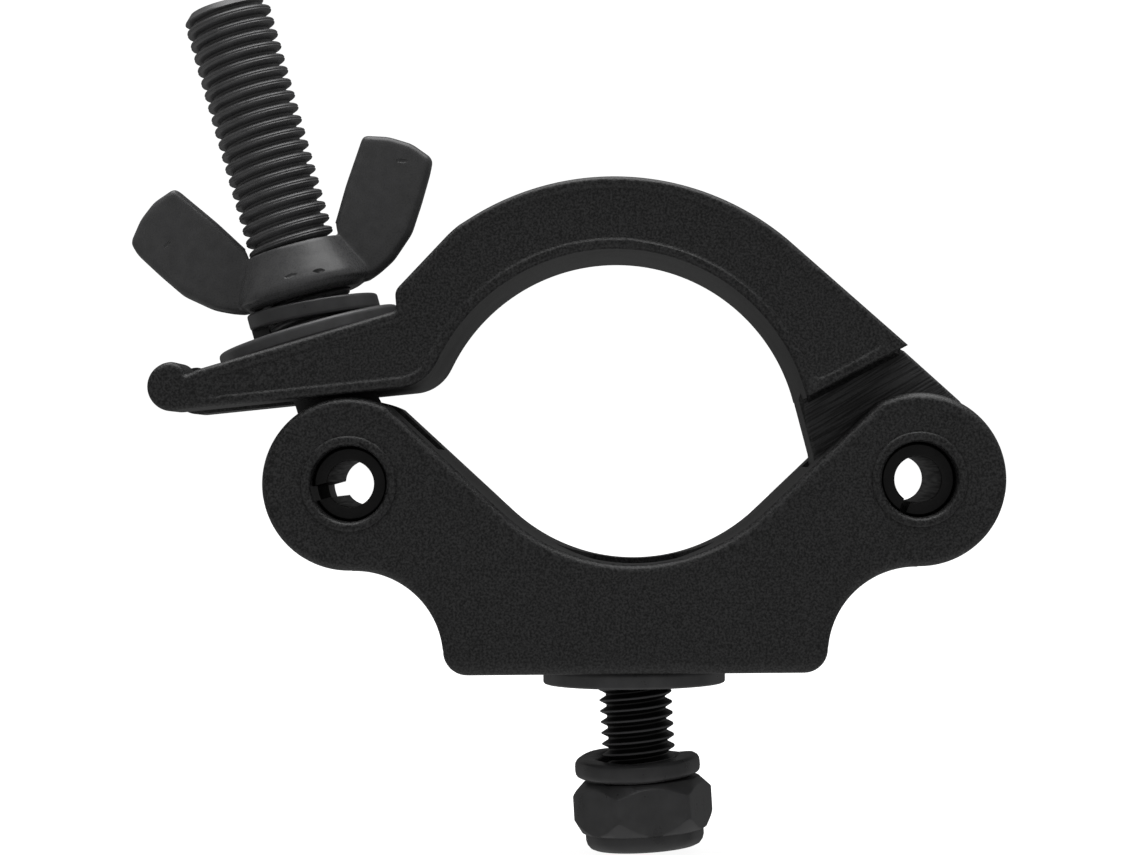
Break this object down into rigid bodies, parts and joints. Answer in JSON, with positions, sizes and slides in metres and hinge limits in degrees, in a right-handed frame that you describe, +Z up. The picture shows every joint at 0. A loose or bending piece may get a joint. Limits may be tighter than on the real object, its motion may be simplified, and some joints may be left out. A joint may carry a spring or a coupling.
{
  "type": "pipe clamp",
  "caption": "Slim cast half-coupler pipe clamp with a hinged jaw, a swing bolt with wing nut, and a threaded fixing bolt with lock nut under its base.",
  "frame": {"origin": "axis of the clamped tube, at the centre of the saddle's arc, halfway across the clamp's width", "axes": "+Z up, away from the base; +X towards the jaw's hinge; +Y along the tube, towards the back"},
  "size_m": [0.118, 0.03, 0.1175],
  "materials": {
    "casting": "fine-grained satin black powder coat on cast aluminium",
    "pins": "satin black oxide on spring steel",
    "blackened_steel": "satin black coating on steel",
    "wing_nut_coat": "smooth semi-gloss black coating on pressed steel",
    "nylon": "matt nylon"
  },
  "bodies": {
    "saddle": {"body": "casting", "hinge_pin": "pins", "swing_pin": "pins", "fixing_bolt": "blackened_steel", "base_flat_washer": "blackened_steel"},
    "jaw": {"arm": "casting"},
    "swing": {"swing_bolt": "blackened_steel"},
    "fork_washers": {"fork_flat_washer": "blackened_steel", "fork_spring_washer": "blackened_steel"},
    "wing": {"wing_nut": "wing_nut_coat"},
    "lock_washer": {"base_spring_washer": "blackened_steel"},
    "locknut": {"lock_nut": "blackened_steel", "lock_nut_insert": "nylon"}
  },
  "joints": [
    {"name": "jaw_hinge", "type": "hinge", "parent": "saddle", "child": "jaw", "pos_m": [0.03775, 0, -0.01415], "axis": [0, 1, 0], "range_deg": [0, 25]},
    {"name": "swing_pivot", "type": "hinge", "parent": "saddle", "child": "swing", "pos_m": [-0.03775, 0, -0.01415], "axis": [0, 1, 0], "range_deg": [0, 25]},
    {"name": "washer_travel", "type": "slide", "parent": "swing", "child": "fork_washers", "axis": [-0.2622, 0, 0.965], "range_m": [0, 0.03272]},
    {"name": "wing_nut_turn", "type": "hinge", "parent": "fork_washers", "child": "wing", "pos_m": [-0.03775, 0, -0.01415], "axis": [-0.2622, 0, 0.965], "range_deg": [0, 6731]},
    {"name": "lock_washer_travel", "type": "slide", "parent": "saddle", "child": "lock_washer", "axis": [-0.0523, 0, 0.9986], "range_m": [0, 0.0096]},
    {"name": "lock_nut_turn", "type": "hinge", "parent": "lock_washer", "child": "locknut", "pos_m": [-0.00025, 0, -0.03965], "axis": [-0.0523, 0, 0.9986], "range_deg": [0, 2304]}
  ],
  "couplings": [
    {"joint": "washer_travel", "follows": "wing_nut_turn", "m_per_rad": 0.00027852},
    {"joint": "jaw_hinge", "follows": "wing_nut_turn", "ratio": 0.0037136},
    {"joint": "swing_pivot", "follows": "wing_nut_turn", "ratio": 0.0037136},
    {"joint": "lock_washer_travel", "follows": "lock_nut_turn", "m_per_rad": 0.00023873}
  ]
}
